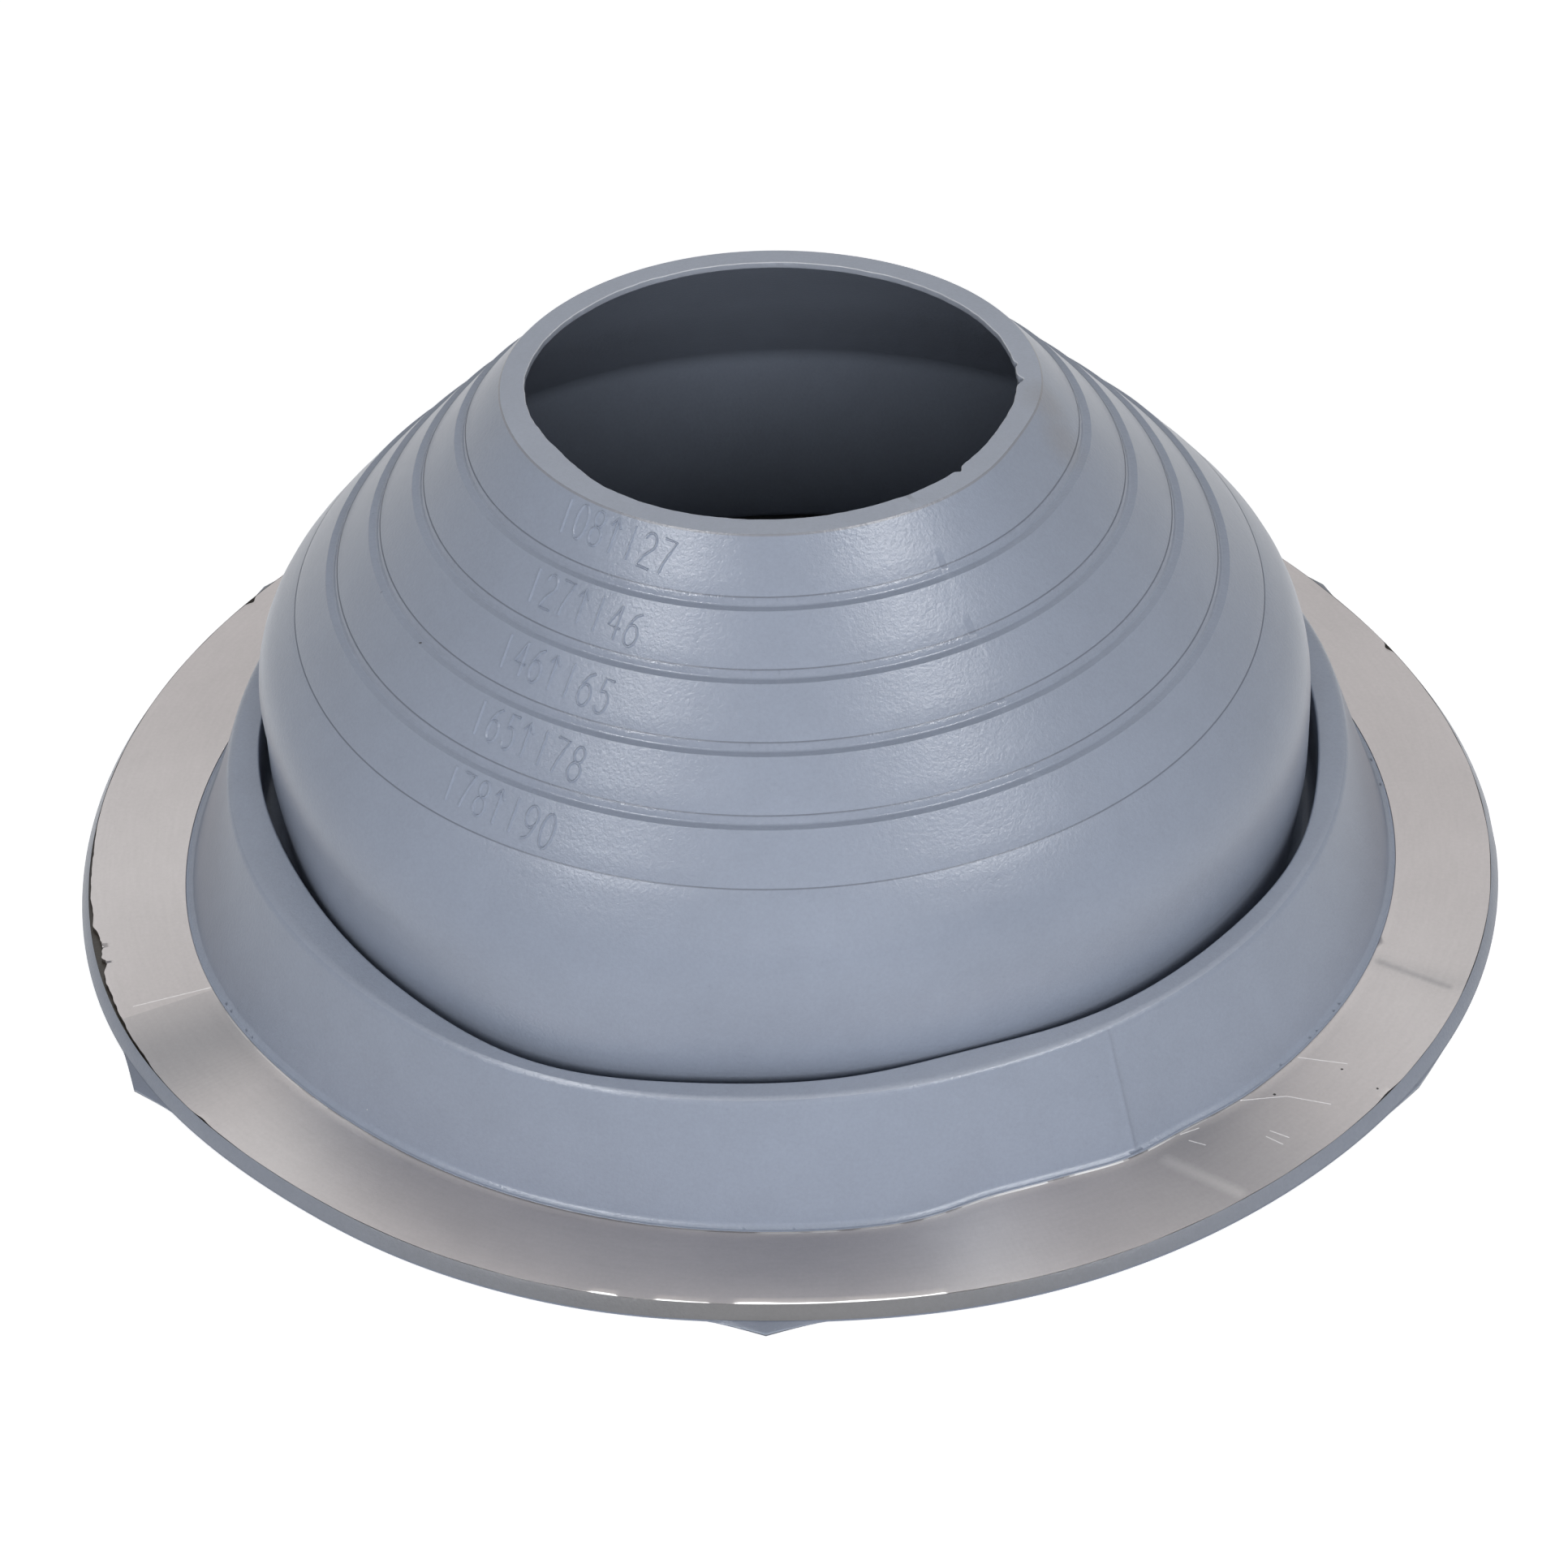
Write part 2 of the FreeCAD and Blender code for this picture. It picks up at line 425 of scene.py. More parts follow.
# aluminium ring
ring = {
    "inner": 120.0, "outer": ringHigh.x / mm, "low": ringLow.z / mm, "high": ringHigh.z / mm,
    "raisedEdge": ((0.3, 0.0, "innerEdge"), (0.05, 0.22, "wall"), (0.0, 0.15, "wall")),     # out, up, finish
    "cutBevel": 0.35, "bevelStart": 0.02, "edgeReach": 1.0, "edgeInset": 0.1, "edgeNoise": ((0.1, 90, 8.3),),
    "torn": ((-69.4, 0.8, 1.3), (-71.6, 1.8, 1.0), (-66.3, 2.8, 0.7), (-75, 6, 0.5), (-83, 4, 0.25),
             (-60, 4, 0.45)),
    "tornNoise": ((0.8, 240, 4.4), (0.3, 620, 6.1)),
    "nicks": ((-120.5, 0.5, 0.9), (111.9, 0.5, 0.8), (52.7, 1.0, 0.3), (-48.5, 0.8, 0.3)),
    "innerNicks": ((69.2, 0.5, 1.2),), "innerReach": (0.6, 0.1),
    "waves": ((-56, 6, -0.3), (15, 6, 0.3), (66.4, 1.2, -0.15), (84, 9, 0.2), (-95, 10, 0.2)),
    "waveHeight": 0.35, "waveNoise": ((0.1, 14, 1.7),), "stiffBelow": 0.2,
    "brightFrom": -13.0, "brightTo": 13.0, "brightFade": 0.4, "brightNoise": ((0.4, 200, 2.5),),
    "brightLevel": 0.8, "dashesBefore": -1, "dashNoise": (110, 12.5), "dashLimits": (-0.22, -0.14),
    "glints": ((26, 13, 0.9), (2, 9, 0.4), (-48, 12, 0.3)),
    "glintNoise": (150, 21.5), "glintLimits": (-0.25, 0.1),
    # painted shade (a sharp bend at the left, soft patches) and painted highlight patches on the ring's face
    "shadeBend": (-57, 6, 1.0), "shadeBendFrom": -62.6, "shadePatches": ((38, 8, 0.6), (66.5, 1.0, 0.35)),
    "highlightPatches": ((16, 5, 1.0), (-80, 18, 0.5), (-41, 8, 0.7), (64, 12, 0.35)),
    "spacing": 0.5, "longest": 1.7, "nickAngles": (0.15, 6),
    "closeStretches": ((-86, 0.14, 230), (-14, 0.2, 140), (64, 0.25, 20)),      # first angle, step, count
}


def ringShape(radius, height, finish, angle):
    r = ring
    nickOut, nickUp = r["innerReach"]
    if radius > r["outer"] - r["edgeReach"]:
        radius -= r["edgeInset"] + sumOfNoise(r["edgeNoise"], angle) + sumOfBells(r["nicks"], angle)
        radius -= sumOfBells(r["torn"], angle) * (1 + sumOfNoise(r["tornNoise"], angle))
        cut = bevelShare(angle) * r["cutBevel"]
        if finish == "face":
            radius -= cut
        elif finish == "bevel":
            height -= cut
    elif radius < r["inner"] + nickOut and height < r["high"] + nickUp:
        radius += sumOfBells(r["innerNicks"], angle)
    if height > r["low"] + r["stiffBelow"]:
        across = math.sin(math.pi * clamp01((radius - r["inner"]) / (r["outer"] - r["inner"])))
        waves = r["waveHeight"] * sumOfBells(r["waves"], angle) + sumOfNoise(r["waveNoise"], angle)
        height += across * waves
    return insideBox(*settle(radius, height, angle), angle)


def bevelShare(angle):
    # the cut edge's bevel and its painted glint lie only at the front, in dashes on its left half
    r = ring
    gap = angleGap(angle, 0)
    ends = smoothStep(r["brightFrom"], r["brightFrom"] + r["brightFade"], gap)
    ends *= smoothStep(r["brightTo"], r["brightTo"] - r["brightFade"], gap)
    dashes = 1.0
    if gap < r["dashesBefore"]:
        dashes = smoothStep(*r["dashLimits"], ringNoise(angle, *r["dashNoise"]))
    return ends * dashes * (r["brightLevel"] + sumOfNoise(r["brightNoise"], angle))


def innerGlint(angle):
    # painted glint: the foil's inner edge catches light in broken stretches, most of it front right
    broken = smoothStep(*ring["glintLimits"], ringNoise(angle, *ring["glintNoise"]))
    return clamp01(sumOfBells(ring["glints"], angle)) * broken


# the cut edges' painted glint
def cutEdgeGlint(finish, angle):
    if finish == "bevel":
        return bevelShare(angle)
    return innerGlint(angle) if finish == "innerEdge" else 0.0


def paintedShade(finish, angle):
    # painted shade on the ring: the bend at the left starts sharply, the other patches are soft
    bend = sumOfBells([ring["shadeBend"]], angle) * float(angleGap(angle, ring["shadeBendFrom"]) > 0)
    return bend + sumOfBells(ring["shadePatches"], angle)


# painted highlight patches on the ring's face
def paintedHighlight(finish, angle):
    return sumOfBells(ring["highlightPatches"], angle)


def aluminiumRing():
    start = ring["bevelStart"]
    corners = [(ring["inner"], ring["low"], 0, "back"), (ring["outer"], ring["low"], 0, "wall"),
               (ring["outer"], ring["high"] - start, 0, "bevel"),
               (ring["outer"] - start, ring["high"], 0, "face")]
    corners += [(ring["inner"] + out, ring["high"] + up, 0, finish) for out, up, finish in ring["raisedEdge"]]
    extras = [first + k * step for first, step, count in ring["closeStretches"] for k in range(count)]
    for centre, width, depth in ring["nicks"] + ring["innerNicks"]:
        extras += closeAngles(centre, *ring["nickAngles"])
    piece = turnedPiece("flange_ring", roundedSection(corners, ring["longest"]),
                        wholeTurn(ring["spacing"], extras), ringShape,
                        {"cutEdgeGlint": cutEdgeGlint, "paintedShade": paintedShade, "paintedHighlight": paintedHighlight})
    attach(piece, "root")
    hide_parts("aluminium_ring")
    print("flange_ring:", len(piece.data.polygons), "faces")
    return piece


# raised step numbers
numbers = {
    "rows": ("108^127", "127^146", "146^165", "165^178", "178^190"),
    "startAngle": (-43.7, -42.6, -41.6, -40.5, -39.9), "topGap": 0.5, "size": (2.65, 6.2), "pitch": 3.6,
    "fallPerMm": 0.06, "halfWidth": 0.3, "topShare": 0.15, "rise": 0.32, "sunk": 0.05, "arcStep": 18,
}


def arcStroke(cx, cy, rx, ry, start, end):
    steps = max(3, round(abs(end - start) / numbers["arcStep"]))
    turn = [math.radians(start + (end - start) * k / steps) for k in range(steps + 1)]
    return [(cx + rx * math.cos(a), cy + ry * math.sin(a)) for a in turn]


def figureStrokes():
    # single strokes in a cell one wide and one high
    return {
        "0": [arcStroke(0.5, 0.5, 0.46, 0.5, 0, 360)],
        "1": [[(0.5, 1.0), (0.5, 0.0)]],
        "2": [arcStroke(0.5, 0.74, 0.42, 0.26, 170, -35)
              + [(0.3, 0.3), (0.12, 0.12), (0.06, 0.0), (0.95, 0.0)]],
        "4": [[(0.72, 1.0), (0.08, 0.36), (0.98, 0.36)], [(0.72, 1.0), (0.72, 0.0)]],
        "5": [[(0.95, 1.0), (0.3, 1.0), (0.22, 0.58)] + arcStroke(0.46, 0.32, 0.44, 0.32, 125, -150)],
        "6": [[(0.85, 0.99), (0.5, 0.88), (0.18, 0.62)] + arcStroke(0.5, 0.31, 0.44, 0.31, 160, 520)],
        "7": [[(0.05, 1.0), (0.92, 1.0), (0.62, 0.6), (0.42, 0.28), (0.34, 0.0)]],
        "8": [arcStroke(0.5, 0.77, 0.36, 0.23, -90, 270), arcStroke(0.5, 0.27, 0.45, 0.27, 90, 450)],
        "9": [arcStroke(0.5, 0.69, 0.44, 0.31, -20, 340) + [(0.86, 0.42), (0.62, 0.12), (0.2, 0.01)]],
        "^": [[(0.5, 1.0), (0.5, 0.0)], [(0.12, 0.76), (0.5, 1.0), (0.86, 0.74)]],
    }


def bandTop(row):
    if row == 0:
        return boot["rimRadius"], boot["rimHeight"]
    radius, height = trimLine(row - 1)
    return radius + boot["fallOut"] + boot["treadWidth"], height - boot["fallDown"]


def raisedNumbers():
    figures = figureStrokes()
    points, faces = [], []
    width, tall = numbers["size"]
    for row, text in enumerate(numbers["rows"]):
        top, end = Vector(bandTop(row)), Vector(trimLine(row))
        along = (end - top).normalized()                     # down the slope
        slant = top.x / along.x                              # from the cone's tip to the band's top edge
        rowLength = numbers["pitch"] * (len(text) - 1) + width
        spread = 360 / (2 * math.pi * along.x)               # degrees round the axis per radian unrolled
        middle = numbers["startAngle"][row] + spread * (rowLength / 2) / (slant + tall)
        outward = Vector((-along.y, along.x))
        for place, character in enumerate(text):
            for stroke in figures[character]:
                path = []
                for x, y in stroke:
                    across = place * numbers["pitch"] + x * width - rowLength / 2
                    down = numbers["topGap"] + (1 - y) * tall
                    down += (across + rowLength / 2) * numbers["fallPerMm"]
                    reach = math.hypot(across, slant + down)
                    turn = math.atan2(across, slant + down)
                    path.append((reach - slant, middle + spread * turn))
                addStroke(points, faces, path, top, along, outward)
    mesh = bpy.data.meshes.new("step_numbers")
    mesh.from_pydata(points, [], faces)
    piece = bpy.data.objects.new("step_numbers", mesh)
    bpy.context.collection.objects.link(piece)
    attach(piece, "root")
    print("step_numbers:", len(numbers["rows"]), "rows")
    return piece


def addStroke(points, faces, path, top, along, outward):
    # low rounded ridge that follows the path over the cone
    places = []
    for down, angle in path:
        spot = top + along * down
        places.append((surfacePoint(spot.x, spot.y, angle),
                       surfacePoint(spot.x + outward.x, spot.y + outward.y, angle)))
    half, rise, sunk = numbers["halfWidth"] * mm, numbers["rise"] * mm, numbers["sunk"] * mm
    flat = half * numbers["topShare"]
    profile = ((-half, -sunk), (-flat, rise), (flat, rise), (half, -sunk))
    first = len(points)
    for i, (spot, above) in enumerate(places):
        normal = (above - spot).normalized()
        before, after = places[max(i - 1, 0)][0], places[min(i + 1, len(places) - 1)][0]
        side = (after - before).cross(normal).normalized()
        points.extend(spot + side * across + normal * up for across, up in profile)
    sides = len(profile)
    for i in range(len(places) - 1):
        for k in range(sides):
            a, b = first + i * sides + k, first + i * sides + (k + 1) % sides
            faces.append((a, b, b + sides, a + sides))
    faces.append(tuple(first + k for k in reversed(range(sides))))
    faces.append(tuple(first + (len(places) - 1) * sides + k for k in range(sides)))


# shader helpers
def newMaterial(name):
    material = bpy.data.materials.new(name)
    material.use_nodes = True
    return material, material.node_tree


def addNode(tree, kind, inputs=None, **settings):
    node = tree.nodes.new(kind)
    for key, value in settings.items():
        setattr(node, key, value)
    for key, value in (inputs or {}).items():
        socket = node.inputs[key]
        if isinstance(value, bpy.types.NodeSocket):
            tree.links.new(value, socket)
        else:
            socket.default_value = value
    return node


def maths(tree, operation, a, b=0.0, c=0.0, clamp=False):
    node = addNode(tree, "ShaderNodeMath", {0: a, 1: b, 2: c}, operation=operation, use_clamp=clamp)
    return node.outputs[0]


def blendColours(tree, factor, a, b, kind="MIX"):
    node = addNode(tree, "ShaderNodeMix", data_type="RGBA", blend_type=kind)
    for key, value in ((0, factor), (6, a), (7, b)):
        if isinstance(value, bpy.types.NodeSocket):
            tree.links.new(value, node.inputs[key])
        else:
            node.inputs[key].default_value = value
    return node.outputs[2]


def stretch(tree, value, low, high, newLow=0.0, newHigh=1.0):
    return addNode(tree, "ShaderNodeMapRange", {0: value, 1: low, 2: high, 3: newLow, 4: newHigh},
                   interpolation_type="SMOOTHSTEP").outputs[0]


def paint(tree, colour, mask, share, over):
    # lays a share of another colour where the mask is
    return blendColours(tree, maths(tree, "MULTIPLY", mask, share), colour, over)


def toned(tree, colour, layers):
    # layers: (value about 0.5, spread); lightens and darkens the colour round itself
    tone = 1.0
    for value, spread in layers:
        tone = maths(tree, "MULTIPLY_ADD", maths(tree, "SUBTRACT", value, 0.5), spread, tone)
    toneColour = addNode(tree, "ShaderNodeCombineColor", {0: tone, 1: tone, 2: tone}).outputs[0]
    return blendColours(tree, 1.0, colour, toneColour, "MULTIPLY")


def vectorMaths(tree, operation, inputs, output=0):
    return addNode(tree, "ShaderNodeVectorMath", inputs, operation=operation).outputs[output]


def mark(tree, name):
    return addNode(tree, "ShaderNodeAttribute", attribute_name=name).outputs["Fac"]


def newGroup(name, inputs, outputs):
    group = bpy.data.node_groups.new(name, "ShaderNodeTree")
    for title, kind, value in inputs:
        socket = group.interface.new_socket(title, in_out="INPUT", socket_type=kind)
        socket.default_value = value
    for title, kind in outputs:
        group.interface.new_socket(title, in_out="OUTPUT", socket_type=kind)
    return group, group.nodes.new("NodeGroupInput"), group.nodes.new("NodeGroupOutput")


def placeGroup(tree, group, **values):
    node = tree.nodes.new("ShaderNodeGroup")
    node.node_tree = group
    for title, value in values.items():
        socket = node.inputs[title]
        if isinstance(value, bpy.types.NodeSocket):
            tree.links.new(value, socket)
        else:
            socket.default_value = value
    return node


def mottleGroup():
    # cloudy patches and fine grain, in metres of the object
    group, start, end = newGroup("mottle", [("PatchScale", "NodeSocketFloat", 40.0),
                                            ("GrainScale", "NodeSocketFloat", 900.0)],
                                 [("Patches", "NodeSocketFloat"), ("Grain", "NodeSocketFloat")])
    place = addNode(group, "ShaderNodeTexCoord").outputs["Object"]
    patches = addNode(group, "ShaderNodeTexNoise", {"Vector": place, "Scale": start.outputs["PatchScale"],
                                                    "Detail": 4.0, "Roughness": 0.6})
    grain = addNode(group, "ShaderNodeTexNoise", {"Vector": place, "Scale": start.outputs["GrainScale"],
                                                  "Detail": 3.0, "Roughness": 0.65})
    group.links.new(patches.outputs[0], end.inputs["Patches"])
    group.links.new(grain.outputs[0], end.inputs["Grain"])
    return group


def speckGroup():
    # rare small round specks
    group, start, end = newGroup("specks", [("Scale", "NodeSocketFloat", 90.0),
                                            ("Size", "NodeSocketFloat", 0.03),
                                            ("Share", "NodeSocketFloat", 0.15)],
                                 [("Mask", "NodeSocketFloat")])
    place = addNode(group, "ShaderNodeTexCoord").outputs["Object"]
    cells = addNode(group, "ShaderNodeTexVoronoi", {"Vector": place, "Scale": start.outputs["Scale"]})
    near = maths(group, "LESS_THAN", cells.outputs["Distance"], start.outputs["Size"])
    chance = addNode(group, "ShaderNodeSeparateColor", {0: cells.outputs["Color"]}).outputs[0]
    chosen = maths(group, "LESS_THAN", chance, start.outputs["Share"])
    group.links.new(maths(group, "MULTIPLY", near, chosen), end.inputs["Mask"])
    return group


def strokeGroup():
    # mask of one straight stroke between two points; a spot when they meet
    group, start, end = newGroup("stroke", [("From", "NodeSocketVector", (0, 0, 0)),
                                            ("To", "NodeSocketVector", (0, 0, 0)),
                                            ("Width", "NodeSocketFloat", 0.0002),
                                            ("Edge", "NodeSocketFloat", 0.00005),
                                            ("Ragged", "NodeSocketFloat", 0.0)],
                                 [("Mask", "NodeSocketFloat")])
    place = addNode(group, "ShaderNodeTexCoord").outputs["Object"]
    fromStart = vectorMaths(group, "SUBTRACT", {0: place, 1: start.outputs["From"]})
    whole = vectorMaths(group, "SUBTRACT", {0: start.outputs["To"], 1: start.outputs["From"]})
    along = vectorMaths(group, "DOT_PRODUCT", {0: fromStart, 1: whole}, "Value")
    length = vectorMaths(group, "DOT_PRODUCT", {0: whole, 1: whole}, "Value")
    share = maths(group, "DIVIDE", along, maths(group, "ADD", length, 1e-9), clamp=True)
    nearest = vectorMaths(group, "SCALE", {0: whole, "Scale": share})
    gap = vectorMaths(group, "DISTANCE", {0: fromStart, 1: nearest}, "Value")
    rough = addNode(group, "ShaderNodeTexNoise", {"Vector": place, "Scale": 1800.0, "Detail": 2.0}).outputs[0]
    rough = maths(group, "MULTIPLY", maths(group, "SUBTRACT", rough, 0.5), start.outputs["Ragged"])
    outside = maths(group, "SUBTRACT", maths(group, "ADD", gap, rough), start.outputs["Width"])
    mask = maths(group, "SUBTRACT", 1.0, maths(group, "DIVIDE", outside, start.outputs["Edge"]), clamp=True)
    group.links.new(mask, end.inputs["Mask"])
    return group


def strokes(tree, group, places, width, edge, ragged=0.0):
    # places: (radius, angle, height) twice for a stroke, once for a spot; answers with one mask
    total = None
    for place in places:
        first = surfacePoint(place[0], place[2], place[1])
        last = surfacePoint(place[-3], place[-1], place[-2])
        mask = placeGroup(tree, group, From=first, To=last, Width=width * mm, Edge=edge * mm,
                          Ragged=ragged * mm).outputs[0]
        total = mask if total is None else maths(tree, "MAXIMUM", total, mask)
    return total


def brushedGroup():
    # fine lines round the ring, as rolled strip shows
    group, start, end = newGroup("rolled lines", [("Round", "NodeSocketFloat", 9.0),
                                                  ("Across", "NodeSocketFloat", 900.0)],
                                 [("Lines", "NodeSocketFloat")])
    place = addNode(group, "ShaderNodeTexCoord").outputs["Object"]
    parts = addNode(group, "ShaderNodeSeparateXYZ", {0: place})
    turn = maths(group, "ARCTAN2", parts.outputs[0], parts.outputs[1])
    squares = [maths(group, "POWER", parts.outputs[k], 2.0) for k in range(2)]
    radius = maths(group, "SQRT", maths(group, "ADD", *squares))
    along = maths(group, "MULTIPLY", turn, start.outputs["Round"])
    across = maths(group, "MULTIPLY", radius, start.outputs["Across"])
    flat = addNode(group, "ShaderNodeCombineXYZ", {0: along, 1: across}).outputs[0]
    lines = addNode(group, "ShaderNodeTexNoise", {"Vector": flat, "Scale": 1.0, "Detail": 3.0,
                                                  "Roughness": 0.6})
    group.links.new(lines.outputs[0], end.inputs["Lines"])
    return group


# rubber
rubberLook = {
    "moulded": (0.243, 0.278, 0.353, 1.0), "cut": (0.345, 0.378, 0.450, 1.0),
    # on this line the grooves' colour is painted shade and the last, pale colour a painted highlight
    "guide": (0.11, 0.125, 0.165, 1.0), "rimLine": (0.19, 0.185, 0.19, 1.0), "paintedSheen": (0.56, 0.58, 0.63, 1.0),
    "film": (0.15, 0.15, 0.155, 1.0), "glue": (0.030, 0.024, 0.018, 1.0),
    "speck": (0.012, 0.012, 0.015, 1.0), "stain": (0.20, 0.185, 0.175, 1.0), "dust": (0.75, 0.75, 0.75, 1.0),
    "fine": {"PatchScale": 26.0, "GrainScale": 1500.0}, "coarse": {"PatchScale": 160.0, "GrainScale": 650.0},
    "patchSpread": 0.20, "cloudSpread": 0.10, "grainSpread": 0.20,
    "lipShare": 0.22, "rimShare": 0.6, "seamShare": 0.22, "guideShare": 0.6,
    "stains": ((50.5, 84.0, 101.0), (54.0, 78.0, 97.0)), "stainShare": 0.35, "stainBrush": (2.0, 5.0, 3.0),
    "blackSpots": ((56.8, 32.0, 95.1), (58.1, -28.2, 93.9), (76.5, -69.0, 75.4), (76.0, -88.3, 76.0),
                   (76.0, 95.7, 75.9), (76.2, -55.4, 75.7)),
    "specks": {"Scale": 120.0, "Size": 0.03, "Share": 0.08}, "speckShare": 0.9,
    "speckBrush": (0.22, 0.12, 0.3),
    "paleSpots": ((114.0, 44.0, 14.0), (113.2, -30.0, 16.5), (112.6, 58.0, 19.0)),
    "dustSpecks": {"Scale": 95.0, "Size": 0.022, "Share": 0.10}, "dustShare": 0.6,
    "dustBrush": (0.2, 0.15, 0.3),
    "roughness": 0.31, "roughSpread": 0.14, "fallPolish": 0.10, "cutRoughness": 0.12, "ior": 1.52,
    "coarseBump": 0.6, "bumpStrength": 0.55, "bumpDepth": 0.00014,
}


def rubberColour(tree, look, specks, stroke, fine, coarse):
    colour = blendColours(tree, mark(tree, "cutFace"), look["moulded"], look["cut"])
    # painted highlights: on the lip's top and on the opening's edge
    sheenShare = maths(tree, "MULTIPLY_ADD", mark(tree, "lipSheen"), look["lipShare"], mark(tree, "openingEdgeSheen"))
    colour = blendColours(tree, sheenShare, colour, look["paintedSheen"])
    colour = paint(tree, colour, mark(tree, "rimEdge"), look["rimShare"], look["rimLine"])
    # painted shade darkens the grooves; the seam line is darkened with the same colour
    grooveShading = maths(tree, "MULTIPLY", mark(tree, "grooveShade"), look["guideShare"])
    lines = maths(tree, "MULTIPLY_ADD", mark(tree, "seamLine"), look["seamShare"], grooveShading)
    colour = blendColours(tree, lines, colour, look["guide"])
    colour = blendColours(tree, mark(tree, "film"), colour, look["film"])
    stained = strokes(tree, stroke, look["stains"], *look["stainBrush"])
    colour = paint(tree, colour, stained, look["stainShare"], look["stain"])
    colour = toned(tree, colour, ((fine.outputs["Patches"], look["patchSpread"]),
                                  (coarse.outputs["Patches"], look["cloudSpread"]),
                                  (fine.outputs["Grain"], look["grainSpread"])))
    colour = blendColours(tree, mark(tree, "glue"), colour, look["glue"])
    dirt = maths(tree, "MAXIMUM", placeGroup(tree, specks, **look["specks"]).outputs[0],
                 strokes(tree, stroke, look["blackSpots"], *look["speckBrush"]))
    colour = paint(tree, colour, dirt, look["speckShare"], look["speck"])
    dust = maths(tree, "MAXIMUM", strokes(tree, stroke, look["paleSpots"], *look["dustBrush"]),
                 placeGroup(tree, specks, **look["dustSpecks"]).outputs[0])
    return paint(tree, colour, dust, look["dustShare"], look["dust"])


def rubberMaterial(mottle, specks, stroke):
    look = rubberLook
    material, tree = newMaterial("grey rubber")
    shader = tree.nodes["Principled BSDF"]
    fine = placeGroup(tree, mottle, **look["fine"])
    coarse = placeGroup(tree, mottle, **look["coarse"])
    grain = fine.outputs["Grain"]
    tree.links.new(rubberColour(tree, look, specks, stroke, fine, coarse), shader.inputs["Base Color"])
    least = look["roughness"] - look["roughSpread"] / 2
    roughness = maths(tree, "MULTIPLY_ADD", grain, look["roughSpread"], least)
    polish = maths(tree, "MULTIPLY", mark(tree, "smoothFall"), look["fallPolish"])
    roughness = maths(tree, "SUBTRACT", roughness, polish)
    roughness = maths(tree, "MULTIPLY_ADD", mark(tree, "cutFace"), look["cutRoughness"], roughness)
    tree.links.new(roughness, shader.inputs["Roughness"])
    shader.inputs["IOR"].default_value = look["ior"]
    height = maths(tree, "MULTIPLY_ADD", coarse.outputs["Grain"], look["coarseBump"], grain)
    bump = addNode(tree, "ShaderNodeBump", {"Strength": look["bumpStrength"], "Distance": look["bumpDepth"],
                                            "Height": height})
    tree.links.new(bump.outputs[0], shader.inputs["Normal"])
    return material


# aluminium; its marks are (radius, angle, height), twice for a line
metalLook = {
    # the second colour is painted shade, the third a painted highlight that the streak uses too
    "face": (0.455, 0.428, 0.427, 1.0), "shadeTone": (0.27, 0.265, 0.275, 1.0), "highlightAndStreak": (0.58, 0.555, 0.55, 1.0),
    # the near-white colour paints the glint on the cut edges and the bright scratches
    "edge": (0.95, 0.95, 0.95, 1.0), "spot": (0.015, 0.015, 0.015, 1.0),
    "fine": {"PatchScale": 24.0, "GrainScale": 1300.0}, "rolled": {"Round": 14.0, "Across": 1100.0},
    "patchSpread": 0.26, "grainSpread": 0.14, "lineSpread": 0.10,
    "blackSpots": ((127.1, -35.3, 3.7), (137.7, -34.0, 3.7), (129.6, 52.9, 3.7), (137.4, 52.7, 3.7),
                   (124.1, 46.9, 3.7), (121.5, 66.6, 3.7), (121.1, 51.0, 3.7), (130.4, -43.5, 3.7)),
    "spotShare": 0.9, "spotBrush": (0.2, 0.1, 0.3),
    "scratches": ((136.0, -63.5, 3.7, 120.9, -62.8, 3.7), (121.7, 51.9, 3.7, 129.6, 53.7, 3.7),
                  (120.6, 44.2, 3.7, 126.0, 47.4, 3.7), (126.0, 47.4, 3.7, 133.1, 49.0, 3.7),
                  (130.1, 42.7, 3.7, 133.4, 43.0, 3.7), (129.6, 43.4, 3.7, 133.0, 43.9, 3.7),
                  (123.4, -32.9, 3.7, 130.0, -29.0, 3.7), (122.0, 37.6, 3.7, 124.6, 38.3, 3.7),
                  (132.5, -10.4, 3.7, 134.7, -11.1, 3.7), (119.9, 37.5, 3.7, 120.7, 39.2, 3.7)),
    "scratchShare": 0.45, "scratchBrush": (0.05, 0.12, 0.12), "scratchRoughness": 0.2, "scratchDepth": 2.0,
    "streaks": ((123.7, 34.7, 3.7, 137.2, 36.9, 3.7),), "streakShare": 0.4, "streakBrush": (0.3, 1.6, 0.8),
    # painted shade along a crease
    "creaseShades": ((123.3, 66.7, 3.7, 137.2, 66.0, 3.7),), "creaseShare": 0.5, "creaseBrush": (0.15, 1.0, 0.6),
    "roughness": 0.40, "roughSpread": 0.16, "edgeRoughness": 0.25,
    "lineBump": 0.5, "bumpStrength": 0.25, "bumpDepth": 0.00006,
}


